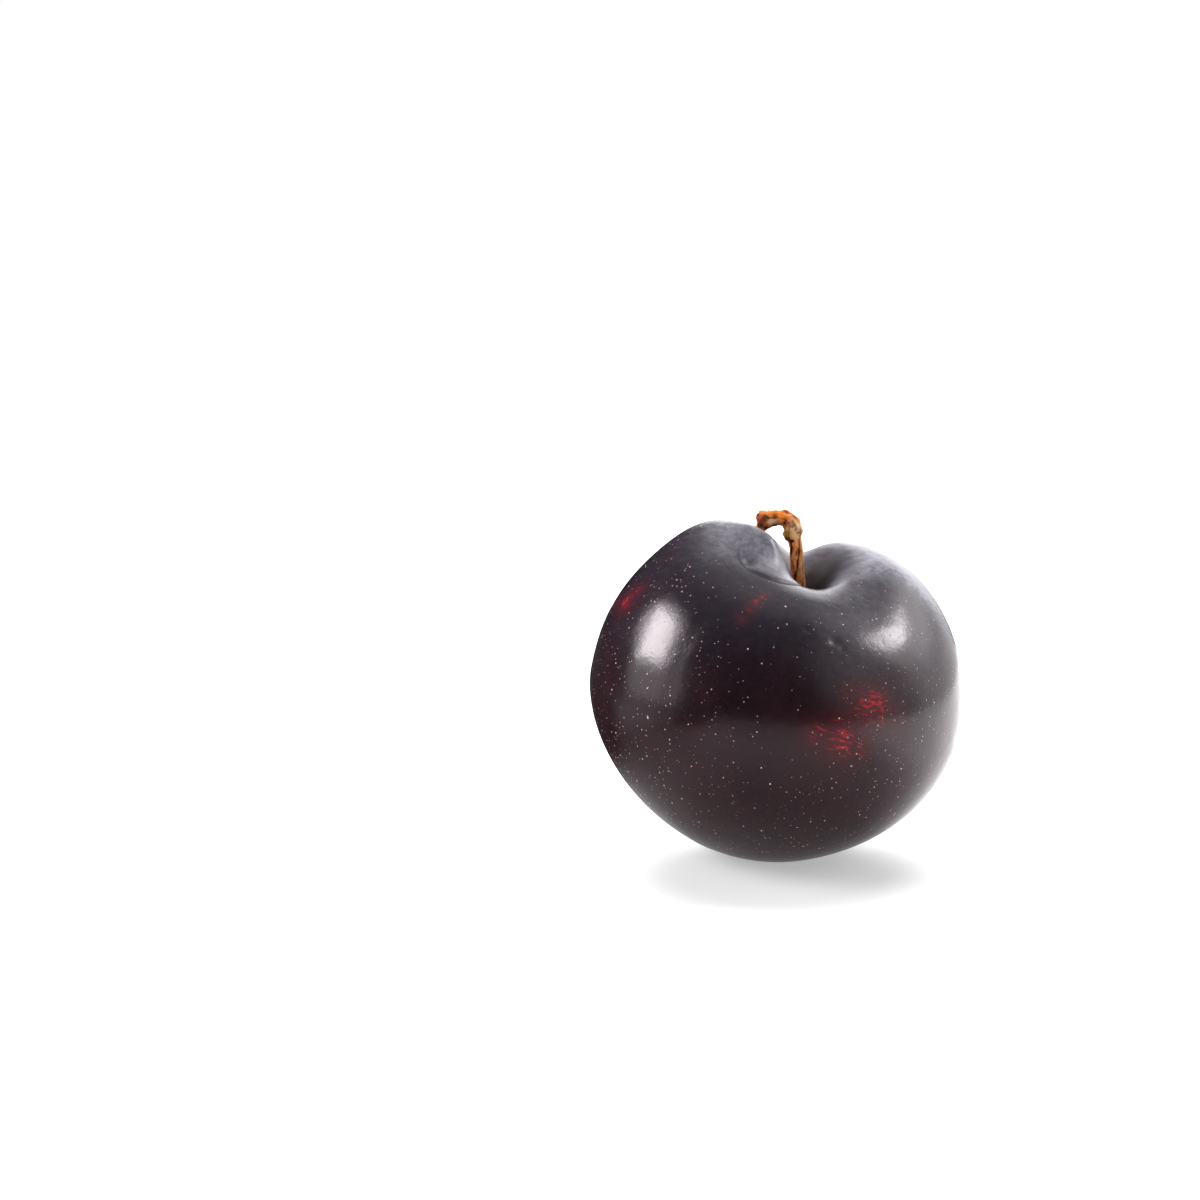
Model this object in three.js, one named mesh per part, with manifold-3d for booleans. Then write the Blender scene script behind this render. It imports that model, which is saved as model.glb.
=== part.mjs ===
// A plum: a round dark fruit with a stem cavity between two raised shoulders, and its dry, bent stem.
// Millimetres, +Z up. The origin is the centre of the flat spot that the fruit rests on, and -Y is its front.
import * as THREE from 'three';
import { mergeVertices } from 'three/addons/utils/BufferGeometryUtils.js';
import Module from 'manifold-3d';

const wasm = await Module();
wasm.setup();

// ---- Driving dimensions ----

// The plain body: two half superellipses turned about the stem axis, joined at the widest level.
const halfWidth = 31.2;
const depthShare = 0.9; // the fruit is a little narrower front to back than across
const shoulderHeight = 28.9; // widest level up to where the shoulders would close over the cavity
const shoulderSquareness = 2.27; // superellipse power, 2 is an ellipse
const baseDepth = 27.1; // widest level down to the blossom end
const baseSquareness = 1.75;
const blossomDimple = { depth: 0.6, radius: 6 };

// The stem cavity, a bowl about the axis: depth times exp(-(r / radius) ^ steepness).
const cavity = { depth: 11.5, radius: 5.5, steepness: 1.52 };

// The shoulder is lower all along the front, by a share of its height, and it has a narrow notch at the back.
const frontSlope = { drop: 0.208, towards: -81.5, halfAngle: 65, nearAxis: 3 };
const notch = { depth: 3.2, ring: 11.5, towards: 93, halfAngle: 21.4 };
const lobes = [
  { rise: 3, x: -17.5, y: 0, radius: 8 }, // left lobe, the higher and squarer one
  { rise: 2.4, x: -8.5, y: -3.5, radius: 4.5 }, // its slope towards the stem
  { rise: 2.4, x: -5, y: -5.4, radius: 3 }, // its foot, in front of the cavity
  { rise: 2.2, x: 15.4, y: 0, radius: 12.1 }, // right lobe
  { rise: -2.5, x: 1.5, y: -2, radius: 3.2 }, // the hollow in front of the stem
];
const shoulderFade = 12; // the shoulder forms fade out over this height above the widest level

// The foot of the left lobe ends in a low pad: an oval with a narrow edge in front and a soft one behind.
// The edges are half widths, as shares of the radii, and the narrow one gives way to the soft one over `softens`.
const pad = {
  x: -6, y: -8.4, radii: [5.2, 4.7], rise: 0.3,
  frontEdge: 0.15, backEdge: 0.7, softens: [-10.5, -6], // from this y to this y
};
const dent = { rise: -0.6, x: -10.4, y: -9.6, radius: 1.9 }; // at the pad's left end

// How the fruit leans, and where the middle of its widest level stands over the rest spot.
const leanRight = 10.5;
const leanForward = 3;
const bodyCentre = new THREE.Vector3(-0.78, -0.15, 26.05);

const fruitSides = 76;
const fruitRings = 50;
const ringCrowding = 1.4; // above 1, the rings draw together towards the cavity

// The stem: its centre line from the foot, sunk in the cavity floor, to the broken end.
const stemLine = [
  [2.65, -1.05, 40.8], [2.95, -1.05, 42.5], [3.15, -1.05, 44.2], [3.08, -1.05, 46], [2.91, -1.05, 47.7],
  [2.67, -1.05, 50.2], [2.53, -1.1, 52.4], [2.37, -1.1, 53.5], [2.08, -1.15, 54.5], [1.83, -1.15, 55.6],
  [1.47, -1.15, 56.45], [0.9, -1.15, 57], [0.15, -1.2, 57.22], [-1, -1.25, 57.2], [-2.15, -1.3, 57],
  [-3.15, -1.35, 56.93], [-4, -1.4, 56.74],
];
const shaftRadius = 1.08;
// Swellings along the stem: the share of its length, how far it swells and over what share.
const swellings = [
  { at: 0.08, rise: 0.3, spread: 0.06 }, // foot
  { at: 0.69, rise: 0.44, spread: 0.08 }, // knuckle at the bend
  { at: 0.82, rise: 0.15, spread: 0.06 }, // arm
  { at: 0.96, rise: 0.5, spread: 0.06 }, // broken end
];
const stemRidges = { count: 4, height: 0.07, turns: 0.6 };
const stemSides = 16;
const stemSteps = 46;

const socketGap = 0.4; // clearance between the stem's foot and the fruit all round
const socketShare = 0.3; // the part of the stem's length that clears the socket and the cavity

const degrees = THREE.MathUtils.degToRad;
const smoothstep = THREE.MathUtils.smoothstep;
const bell = (distance, radius) => Math.exp(-((distance / radius) ** 2));

// ---- Solids ----

function toSolid(geometry) {
  const plain = geometry.clone();
  plain.deleteAttribute('normal');
  plain.deleteAttribute('uv');
  const merged = mergeVertices(plain, 1e-4);
  const mesh = new wasm.Mesh({
    numProp: 3,
    vertProperties: Float32Array.from(merged.attributes.position.array),
    triVerts: Uint32Array.from(merged.index.array),
  });
  return new wasm.Manifold(mesh);
}

function toGeometry(solid) {
  const { vertProperties, triVerts } = solid.getMesh();
  const geometry = new THREE.BufferGeometry();
  geometry.setAttribute('position', new THREE.BufferAttribute(vertProperties, 3));
  geometry.setIndex(new THREE.BufferAttribute(triVerts, 1));
  geometry.computeVertexNormals();
  return geometry;
}

function moveVertices(geometry, place) {
  const position = geometry.attributes.position;
  const point = new THREE.Vector3();
  for (let i = 0; i < position.count; i += 1) {
    place(point.fromBufferAttribute(position, i));
    position.setXYZ(i, point.x, point.y, point.z);
  }
  return geometry;
}

// ---- Fruit ----

// The turned profile, from the blossom end over the widest level and the shoulder into the cavity.
class BodyProfile extends THREE.Curve {
  getPoint(t, target = new THREE.Vector2()) {
    const angle = Math.PI * t;
    const isShoulder = t > 0.5;
    const squareness = isShoulder ? shoulderSquareness : baseSquareness;
    const across = halfWidth * Math.sin(angle) ** (2 / squareness);
    const along = Math.abs(Math.cos(angle)) ** (2 / squareness);
    if (isShoulder) {
      const bowl = cavity.depth * Math.exp(-((across / cavity.radius) ** cavity.steepness));
      return target.set(across, shoulderHeight * along - bowl);
    }
    return target.set(across, blossomDimple.depth * bell(across, blossomDimple.radius) - baseDepth * along);
  }
}

function profilePoints() {
  const profile = new BodyProfile();
  profile.arcLengthDivisions = 1000;
  const points = [];
  for (let i = 0; i <= fruitRings; i += 1) {
    points.push(profile.getPointAt(1 - (1 - i / fruitRings) ** ringCrowding));
  }
  points[0].x = 0;
  points[fruitRings].x = 0;
  return points;
}

// The smallest turn from one direction to another, both in radians.
function turnBetween(angle, direction) {
  return THREE.MathUtils.euclideanModulo(angle - direction + Math.PI, 2 * Math.PI) - Math.PI;
}

// How far the front is lowered: full down the front, nothing at the back and at the axis.
function frontDrop(radius, angle) {
  const across = Math.min(radius / halfWidth, 1);
  const shoulder = shoulderHeight * (1 - across ** shoulderSquareness) ** (1 / shoulderSquareness);
  const facing = bell(turnBetween(angle, degrees(frontSlope.towards)), degrees(frontSlope.halfAngle));
  return frontSlope.drop * shoulder * facing * (1 - bell(radius, frontSlope.nearAxis));
}

// Depth of the notch: deepest on its ring, gone at the axis and at the widest level.
function notchDepth(radius, angle) {
  const ring = (radius / notch.ring) ** 2 * Math.exp(1 - (radius / notch.ring) ** 2);
  return notch.depth * ring * bell(turnBetween(angle, degrees(notch.towards)), degrees(notch.halfAngle));
}

function padHeight({ x, y }) {
  const share = Math.hypot((x - pad.x) / pad.radii[0], (y - pad.y) / pad.radii[1]);
  const edge = THREE.MathUtils.lerp(pad.frontEdge, pad.backEdge, smoothstep(y, ...pad.softens));
  return pad.rise * (1 - smoothstep(share, 1 - edge, 1 + edge));
}

// Height of a round-topped form at a point; a negative rise is a hollow.
function moundHeight(point, { rise, x, y, radius }) {
  return rise * bell(Math.hypot(point.x - x, point.y - y), radius);
}

function shapeShoulder(point) {
  if (point.z <= 0) return;
  const radius = Math.hypot(point.x, point.y);
  const angle = Math.atan2(point.y, point.x);
  const mounds = [...lobes, dent].reduce((height, mound) => height + moundHeight(point, mound), 0);
  const forms = mounds + padHeight(point) - notchDepth(radius, angle);
  point.z += forms * smoothstep(point.z, 0, shoulderFade) - frontDrop(radius, angle);
}

function leanFruit(point) {
  point.y *= depthShare;
  point.applyAxisAngle(new THREE.Vector3(0, 1, 0), degrees(leanRight));
  point.applyAxisAngle(new THREE.Vector3(1, 0, 0), degrees(leanForward));
  point.add(bodyCentre);
}

function fruitBody() {
  const body = new THREE.LatheGeometry(profilePoints(), fruitSides);
  body.rotateX(Math.PI / 2);
  return moveVertices(body, (point) => {
    shapeShoulder(point);
    leanFruit(point);
  });
}

// ---- Stem ----

function stemRadius(share, angle) {
  const swelling = swellings.reduce((sum, { at, rise, spread }) => sum + rise * bell(share - at, spread), 0);
  const twist = 2 * Math.PI * stemRidges.turns * share;
  const ridge = stemRidges.height * Math.cos(stemRidges.count * (angle + twist));
  return shaftRadius + swelling + ridge;
}

// A closed round bar bent along the stem's line, as far as share, and extra wider than the stem.
function stemBar(share, extra) {
  const line = new THREE.CatmullRomCurve3(stemLine.map((place) => new THREE.Vector3(...place)));
  const frames = line.computeFrenetFrames(stemSteps);
  const steps = Math.round(stemSteps * share);
  const bar = new THREE.CylinderGeometry(1, 1, steps, stemSides, steps);
  return moveVertices(bar, (point) => {
    const step = Math.round(point.y + steps / 2);
    const angle = Math.atan2(point.z, point.x);
    const radius = Math.hypot(point.x, point.z) * (stemRadius(step / stemSteps, angle) + extra);
    const centre = line.getPointAt(step / stemSteps);
    if (step === 0) centre.addScaledVector(frames.tangents[0], -extra);
    point
      .copy(centre)
      .addScaledVector(frames.binormals[step], radius * Math.cos(angle))
      .addScaledVector(frames.normals[step], radius * Math.sin(angle));
  });
}

// ---- Assembly ----

// The fruit is cut flat where it rests, and its cavity floor is hollowed for the stem's foot.
function fruitSolid() {
  const ground = new THREE.BoxGeometry(4 * halfWidth, 4 * halfWidth, halfWidth);
  ground.translate(0, 0, -halfWidth / 2);
  return toSolid(fruitBody()).subtract(toSolid(ground)).subtract(toSolid(stemBar(socketShare, socketGap)));
}

const fruitSkin = new THREE.MeshStandardMaterial({ color: 0x1c1218, roughness: 0.25, metalness: 0 });
const stemBark = new THREE.MeshStandardMaterial({ color: 0x8a5430, roughness: 0.8, metalness: 0 });

const plum = new THREE.Mesh(toGeometry(fruitSolid()), fruitSkin);
plum.name = 'plum';

const stem = new THREE.Mesh(toGeometry(toSolid(stemBar(1, 0))), stemBark);
stem.name = 'stem';

const group = new THREE.Group();
group.add(plum, stem);

export default group;
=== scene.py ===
import math
import bpy
import numpy as np
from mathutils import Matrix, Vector


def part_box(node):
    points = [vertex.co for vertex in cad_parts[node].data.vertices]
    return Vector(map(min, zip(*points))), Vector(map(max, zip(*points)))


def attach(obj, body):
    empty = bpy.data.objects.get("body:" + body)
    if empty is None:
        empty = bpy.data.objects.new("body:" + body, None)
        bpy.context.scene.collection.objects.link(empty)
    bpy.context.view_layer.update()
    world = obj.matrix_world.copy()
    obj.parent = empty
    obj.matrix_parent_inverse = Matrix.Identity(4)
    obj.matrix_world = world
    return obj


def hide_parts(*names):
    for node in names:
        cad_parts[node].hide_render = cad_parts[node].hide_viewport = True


# A dark plum with a dry, bent stem, alone on a pale floor in soft studio light.
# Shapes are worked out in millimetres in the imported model's frame and put into metres last.

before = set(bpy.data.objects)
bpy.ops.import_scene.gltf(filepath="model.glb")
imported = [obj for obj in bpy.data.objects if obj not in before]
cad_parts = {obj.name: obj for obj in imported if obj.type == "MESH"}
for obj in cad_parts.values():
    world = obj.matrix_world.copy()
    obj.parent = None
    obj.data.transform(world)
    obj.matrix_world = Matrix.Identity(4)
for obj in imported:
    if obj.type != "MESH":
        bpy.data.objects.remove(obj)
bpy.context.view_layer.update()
millimetre = 0.001
print("frame loaded:", sorted(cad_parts))


# Small formulas that the shapes share

def bell(distance, radius):
    # 1 in the middle, 0.37 at the radius: e to the minus square of distance over radius
    return np.exp(-((distance / radius) ** 2))


def smoothStep(value, low, high):
    # 0 below low, 1 above high, and a smooth S between
    share = np.clip((value - low) / (high - low), 0, 1)
    return share * share * (3 - 2 * share)


def turnBetween(angle, direction):
    # the smallest turn from direction to angle, in radians
    return (angle - direction + np.pi) % (2 * np.pi) - np.pi


def softNoise(points, size, seed):
    # random hills from -1 to 1: random values on a cubic lattice of this size, blended by a smooth S along
    # each axis
    cells = 24
    lattice = np.random.default_rng(seed).uniform(-1, 1, (cells, cells, cells))
    scaled = np.asarray(points) / size
    corner = np.floor(scaled).astype(int)
    share = scaled - corner
    share = share * share * (3 - 2 * share)
    hills = np.zeros(scaled.shape[:-1])
    for step in np.ndindex(2, 2, 2):
        weight = np.prod(np.where(step, share, 1 - share), axis=-1)
        hills += weight * lattice[tuple(np.moveaxis((corner + step) % cells, -1, 0))]
    return hills


def stacked(*parts):
    # several grids of numbers as one grid of points
    return np.stack(np.broadcast_arrays(*parts), axis=-1)


def fitToNode(points, node):
    # stretches the points by a hair, so that their box is the box of the node they stand for
    low, high = (np.array(corner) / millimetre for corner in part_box(node))
    flat = points.reshape(-1, 3)
    return low + (points - flat.min(0)) * (high - low) / (flat.max(0) - flat.min(0))


def closedPiece(name, rings, start, end):
    # rings: rows of points that close round a piece; start and end: the points that close its two ends
    rows, sides = rings.shape[:2]
    points = np.concatenate([rings.reshape(-1, 3), [start, end]]) * millimetre
    row, side = np.meshgrid(np.arange(rows - 1), np.arange(sides), indexing="ij")
    nextSide = (side + 1) % sides
    here, beside = row * sides + side, row * sides + nextSide
    quads = np.stack([here, beside, beside + sides, here + sides], axis=-1).reshape(-1, 4)
    rim = np.arange(sides)
    rimNext = (rim + 1) % sides
    startFan = np.stack([rimNext, rim, np.full(sides, rows * sides)], axis=-1)
    lastRow = (rows - 1) * sides
    endFan = np.stack([lastRow + rim, lastRow + rimNext, np.full(sides, rows * sides + 1)], axis=-1)
    mesh = bpy.data.meshes.new(name)
    corners = np.concatenate([quads.ravel(), startFan.ravel(), endFan.ravel()])
    sizes = np.concatenate([np.full(len(quads), 4), np.full(2 * sides, 3)])
    mesh.vertices.add(len(points))
    mesh.vertices.foreach_set("co", points.ravel())
    mesh.loops.add(len(corners))
    mesh.loops.foreach_set("vertex_index", corners)
    mesh.polygons.add(len(sizes))
    mesh.polygons.foreach_set("loop_start", np.concatenate([[0], np.cumsum(sizes)[:-1]]))
    mesh.polygons.foreach_set("use_smooth", np.ones(len(sizes), bool))
    mesh.update(calc_edges=True)
    mesh.validate()
    piece = bpy.data.objects.new(name, mesh)
    bpy.context.scene.collection.objects.link(piece)
    return piece


def addField(piece, name, field):
    # one number a vertex, or three for a vector; the two end points take the first and last ring's mean
    kind = "FLOAT" if field.ndim == 2 else "FLOAT_VECTOR"
    rows, sides = field.shape[:2]
    rings = field.reshape(rows, sides, -1)
    whole = np.concatenate([rings.reshape(rows * sides, -1), rings[:1].mean(1), rings[-1:].mean(1)])
    layer = piece.data.attributes.new(name, kind, "POINT")
    layer.data.foreach_set("value" if kind == "FLOAT" else "vector", whole.ravel().astype(np.float32))


# The fruit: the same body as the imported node, with a finer crease, nicks, scars and small unevenness

fruit = {
    "halfWidth": 31.2, "depthShare": 0.9, "shoulderHeight": 28.9, "shoulderSquareness": 2.27,
    "baseDepth": 27.1, "baseSquareness": 1.75, "blossomDepth": 0.6, "blossomRadius": 6,
    "cavityDepth": 11.5, "cavityRadius": 5.5, "cavitySteepness": 1.52, "shoulderFade": 12,
    # the shoulder is lower all along the front, by a share of its height, and has a narrow notch at the back
    "front": {"drop": 0.208, "towards": -81.5, "halfAngle": 65, "nearAxis": 3},
    "notch": {"depth": 3.2, "ring": 11.5, "towards": 93, "halfAngle": 21.4},
    "mounds": [  # rise, place, radius
        (3.0, (-17.5, 0), 8.0),  # left lobe
        (2.2, (15.4, 0), 12.1),  # right lobe
        (2.4, (-5.0, -5.4), 3.0),  # the left lobe's foot, in front of the cavity
        (2.4, (-8.5, -3.5), 4.5),  # its slope towards the stem
        (-2.5, (1.5, -2.0), 3.2),  # the hollow in front of the stem
    ],
    "leanRight": 10.5, "leanForward": 3, "centre": (-0.78, -0.15, 26.05),
    "settleHeight": 1.5,  # below this the small unevenness fades out, so that the rest spot stays flat
    "sides": 360, "rings": 270, "ringCrowding": 1.4, "profileSteps": 6001,
    "foot": {  # the left lobe's foot, a low pad: a sharp crease bounds it in front, and it is soft behind
        "place": (-6.0, -8.4), "radii": (5.2, 4.7), "rise": 0.3, "frontEdge": 0.1, "backEdge": 0.7,
        "sharpBefore": (-10.5, -6.0), "groove": 0.05, "grooveAt": 1.08, "grooveHalfWidth": 0.06,
        "creaseShade": 0.9,
    },
    "dent": {  # a pit at the left end of the crease, with a spot of painted shade in it
        "place": (-9.7, -10.0), "depth": 0.9, "radius": 1.3,
        "spot": (-9.4, -10.1), "spotRadius": 1.1, "spotShade": 0.8,
    },
    "suture": {"angle": -128, "depth": 0.03, "halfWidth": 1.2},
    "unevenness": [(14, 0.16, 3), (5, 0.035, 4), (1.7, 0.008, 5)],  # size, height, seed
    "folds": {  # soft folds that run into the cavity, strongest on a ring round it
        "height": 0.07, "sectors": 4.5, "length": 9, "ring": 9, "reach": 13, "seed": 8,
    },
    "nicks": [  # place, depth, radius
        ((-6.15, -1.45, 55.4), 0.35, 0.75),
        ((6.55, -22.35, 39.7), 0.2, 0.7),
        ((7.65, -22.65, 38.9), 0.12, 0.5),
        ((2.25, -21.95, 41.4), 0.1, 0.5),
    ],
    # a nick this deep is fully dark, over this share of its radius
    "nickShade": {"fullDepth": 0.35, "reach": 0.8},
    # the skin that lips round the stem, inside the cavity
    "collar": {"place": (0.8, -0.15), "radius": 1.9, "rise": 0.3, "halfWidth": 0.45, "reach": 5},
    "styleScar": {"depth": 0.25, "radius": 0.7, "shadeRadius": 0.9},
    "cavityShade": [((3.2, 0.6), 5.0), ((-1.0, -6.5), 2.3)],  # painted shade deep in the cavity and on the foot's flank beside the stem, on duller skin: place, radius
    "bloom": {  # a pale dust on the shoulders
        "rings": [(1.1, 0, 12), (0.7, 12, 5)],  # strength, distance from the axis, half width
        "rightRing": (1.6, 19, 8), "rightSide": (-2, 8),  # one more, which starts and is full at these x
        "frontEdge": (-14.5, -7), "edgeShift": 5,  # starts and is full at these y, further back on the right
        "inFront": 0.1, "lostInCavity": 0.9, "clouds": 0.35, "cloudMean": 0.8, "cloudSize": 6, "seed": 21,
        "haze": 0.03, "hazeHeights": (20, 44),
    },
    "dotShares": {  # the share of dots that show: few in the middle, all at the sides, many below, few on top
        "middle": 0.35, "middleAt": -2, "sides": (4, 18), "below": 0.8, "belowHeights": (14, 28),
        "topRadius": 14, "bareRadius": 17, "bareShare": 0.9,
    },
    "streaks": [  # streaks of blush: name, turn about Y in degrees, length, width, shift of their noise
        ("blushAlong", 48, 4.0, 0.45, (0.0, 0.013, 0.0)),  # these run up to the cavity
        ("blushAcross", -3, 5.0, 0.4, (0.011, 0.0, 0.004)),  # these and the next run round the fruit
        ("blushDown", -24, 5.0, 0.45, (0.007, 0.002, 0.009)),
    ],
    "blushPatches": [  # which kind of streaks, place, reach, strength
        (0, (-25.45, -7.15, 44.2), 2.6, 1.0),
        (0, (-23.85, -8.15, 45.9), 1.8, 0.8),
        (0, (-26.85, -3.15, 43.4), 1.6, 0.8),
        (0, (-4.15, -17.45, 46.1), 1.0, 0.7),
        (0, (-5.25, -18.65, 45.2), 1.1, 0.8),
        (0, (-6.35, -19.75, 44.3), 1.0, 0.65),
        (0, (-7.65, -21.05, 43.2), 1.3, 0.45),
        (1, (12.35, -25.15, 30.2), 3.8, 1.0),
        (1, (9.55, -25.65, 32.0), 2.6, 0.6),
        (1, (15.75, -23.85, 28.3), 3.0, 0.5),
        (2, (7.25, -27.25, 25.3), 3.6, 0.95),
        (2, (3.55, -27.95, 26.0), 2.4, 0.7),
        (2, (10.25, -26.35, 24.0), 2.4, 0.7),
        (1, (13.75, 21.45, 34.0), 5.0, 0.7),
        (0, (-14.25, 19.65, 38.0), 4.0, 0.6),
    ],
    "skin": {
        # colours as they look on screen
        "deep": (22, 9, 13), "brown": (37, 18, 23), "blue": (21, 17, 28), "bloom": (160, 158, 170),
        # the scar colour also paints the shade in the cavity, along the crease and in the dent
        "blush": (172, 28, 42), "dot": (236, 208, 198), "dotHalo": (96, 32, 40), "scar": (20, 12, 12),
        # how much of what lies below each one covers
        "brownCover": 0.55, "bloomCover": 0.8, "blushCover": 0.13, "streakCover": 0.9, "haloCover": 0.45,
        "scarAndShadeCover": 0.8,
        # heights in metres where the brown low down and the blue high up start and are full
        "brownHeights": (0.034, 0.012), "blueHeights": (0.03, 0.046),
        # patterns: size in millimetres, detail, roughness
        "clouds": (16, 4, 0.55), "mottles": (3.5, 4, 0.65), "pores": (0.45, 3, 0.6), "ripples": (1.9, 3, 0.6),
        # from which value of a pattern to which, and what it then gives
        "cloudRange": (0.38, 0.66), "blueRange": (0.3, 0.7, 0.4, 0.9), "dullRange": (0.35, 0.7),
        # the gloss, how much rougher bloom, mottles, dots, and scars with the painted shade are, and how far
        # the relief stands out
        "roughness": 0.17, "refraction": 1.38, "gloss": (1.0, 0.9, 0.94, 1),
        "bloomDulls": 0.14, "mottlesDull": 0.04, "dotsDull": 0.35, "scarsAndShadeDull": 0.45,
        "poreRelief": 0.35, "dotRelief": 0.2, "rippleRelief": 0.9,
        "reliefStrength": 0.7, "reliefDepth": 0.00005,
    },
    "wisps": {  # fine strokes in the bloom
        "turn": (0.4, 0.2, 0.9), "length": 5.0, "width": 1.0, "shift": (0.03, 0.01, 0.02),
        "range": (0.3, 0.75, 0.55, 1.06),
    },
    # a streak shows where its noise is above a level, which is lower where the blush is stronger
    "streakLevel": {"level": 0.745, "lowered": 0.3, "softness": 0.13, "strengthPower": 0.6},
    "dots": {  # radii as shares of the spacing; a high power makes most dots small
        "spacing": 0.7, "smallest": 0.12, "growth": 0.13, "power": 4.0, "edge": 0.08,
        "halo": (0.34, 0.1), "haloAbove": 0.6, "brightness": (0.16, 0.85),
    },
}


def smoothLine(knots, shares, fineSteps=2000):
    # a Catmull-Rom line through the knots, taken at shares of its length
    knots = np.array(knots, float)
    padded = np.concatenate([[2 * knots[0] - knots[1]], knots, [2 * knots[-1] - knots[-2]]])
    fine = np.linspace(0, len(knots) - 1, fineSteps)
    span = np.minimum(fine.astype(int), len(knots) - 2)
    t = (fine - span)[:, None]
    before, here, after, beyond = (padded[span + step] for step in range(4))
    line = 0.5 * (2 * here + (after - before) * t + (2 * before - 5 * here + 4 * after - beyond) * t ** 2
                  + (3 * here - before - 3 * after + beyond) * t ** 3)
    length = np.concatenate([[0], np.cumsum(np.linalg.norm(np.diff(line, axis=0), axis=1))])
    taken = [np.interp(shares * length[-1], length, column) for column in line.T]
    return np.stack(taken, -1), length[-1]


def plainProfile():
    # distance from the axis and height of two half superellipses, less the blossom dimple and the cavity,
    # at steps of its length that draw together towards the cavity
    steps = np.linspace(0, 1, fruit["profileSteps"])
    upper = steps > 0.5
    power = 2 / np.where(upper, fruit["shoulderSquareness"], fruit["baseSquareness"])
    across = fruit["halfWidth"] * np.clip(np.sin(np.pi * steps), 0, 1) ** power
    along = np.abs(np.cos(np.pi * steps)) ** power
    bowl = fruit["cavityDepth"] * np.exp(-((across / fruit["cavityRadius"]) ** fruit["cavitySteepness"]))
    dimple = fruit["blossomDepth"] * bell(across, fruit["blossomRadius"])
    height = np.where(upper, fruit["shoulderHeight"] * along - bowl, dimple - fruit["baseDepth"] * along)
    length = np.concatenate([[0], np.cumsum(np.hypot(np.diff(across), np.diff(height)))])
    share = 1 - (1 - np.arange(1, fruit["rings"]) / fruit["rings"]) ** fruit["ringCrowding"]
    ends = height[0], height[-1]
    return np.interp(share * length[-1], length, across), np.interp(share * length[-1], length, height), ends


def footPad(x, y):
    # 1 on the pad and 0 off it, by the share of its oval's radius; and 1 on its crease, 0 away from it
    foot = fruit["foot"]
    share = np.hypot((x - foot["place"][0]) / foot["radii"][0], (y - foot["place"][1]) / foot["radii"][1])
    behind = smoothStep(y, *foot["sharpBefore"])
    edge = foot["frontEdge"] + (foot["backEdge"] - foot["frontEdge"]) * behind
    onCrease = (1 - behind) * bell(share - foot["grooveAt"], foot["grooveHalfWidth"])
    return 1 - smoothStep(share, 1 - edge, 1 + edge), onCrease


def shoulderForms(x, y, radius, angle):
    # the heights of the notch, mounds, pad, crease and dent, added up; the notch is share squared times e to
    # (one minus share squared), with share the distance over the ring's radius, so it is deepest on the ring
    notch, foot, dent = fruit["notch"], fruit["foot"], fruit["dent"]
    ring = (radius / notch["ring"]) ** 2 * np.exp(1 - (radius / notch["ring"]) ** 2)
    forms = -notch["depth"] * ring * bell(turnBetween(angle, math.radians(notch["towards"])),
                                          math.radians(notch["halfAngle"]))
    for rise, place, spread in fruit["mounds"]:
        forms += rise * bell(np.hypot(x - place[0], y - place[1]), spread)
    pad, onCrease = footPad(x, y)
    forms += foot["rise"] * pad - foot["groove"] * onCrease
    forms -= dent["depth"] * bell(np.hypot(x - dent["place"][0], y - dent["place"][1]), dent["radius"])
    return forms


def lean(points):
    # the whole fruit narrowed front to back, turned about Y, then about X, and moved onto its rest spot
    right, forward = math.radians(fruit["leanRight"]), math.radians(fruit["leanForward"])
    x, y, z = np.moveaxis(points, -1, 0)
    y = y * fruit["depthShare"]
    x, z = x * math.cos(right) + z * math.sin(right), -x * math.sin(right) + z * math.cos(right)
    y, z = y * math.cos(forward) - z * math.sin(forward), y * math.sin(forward) + z * math.cos(forward)
    return stacked(x, y, z) + fruit["centre"]


def nearness(points, place, radius):
    # the bell of the distance to a place
    return bell(np.linalg.norm(points - np.array(place), axis=-1), radius)


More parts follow.
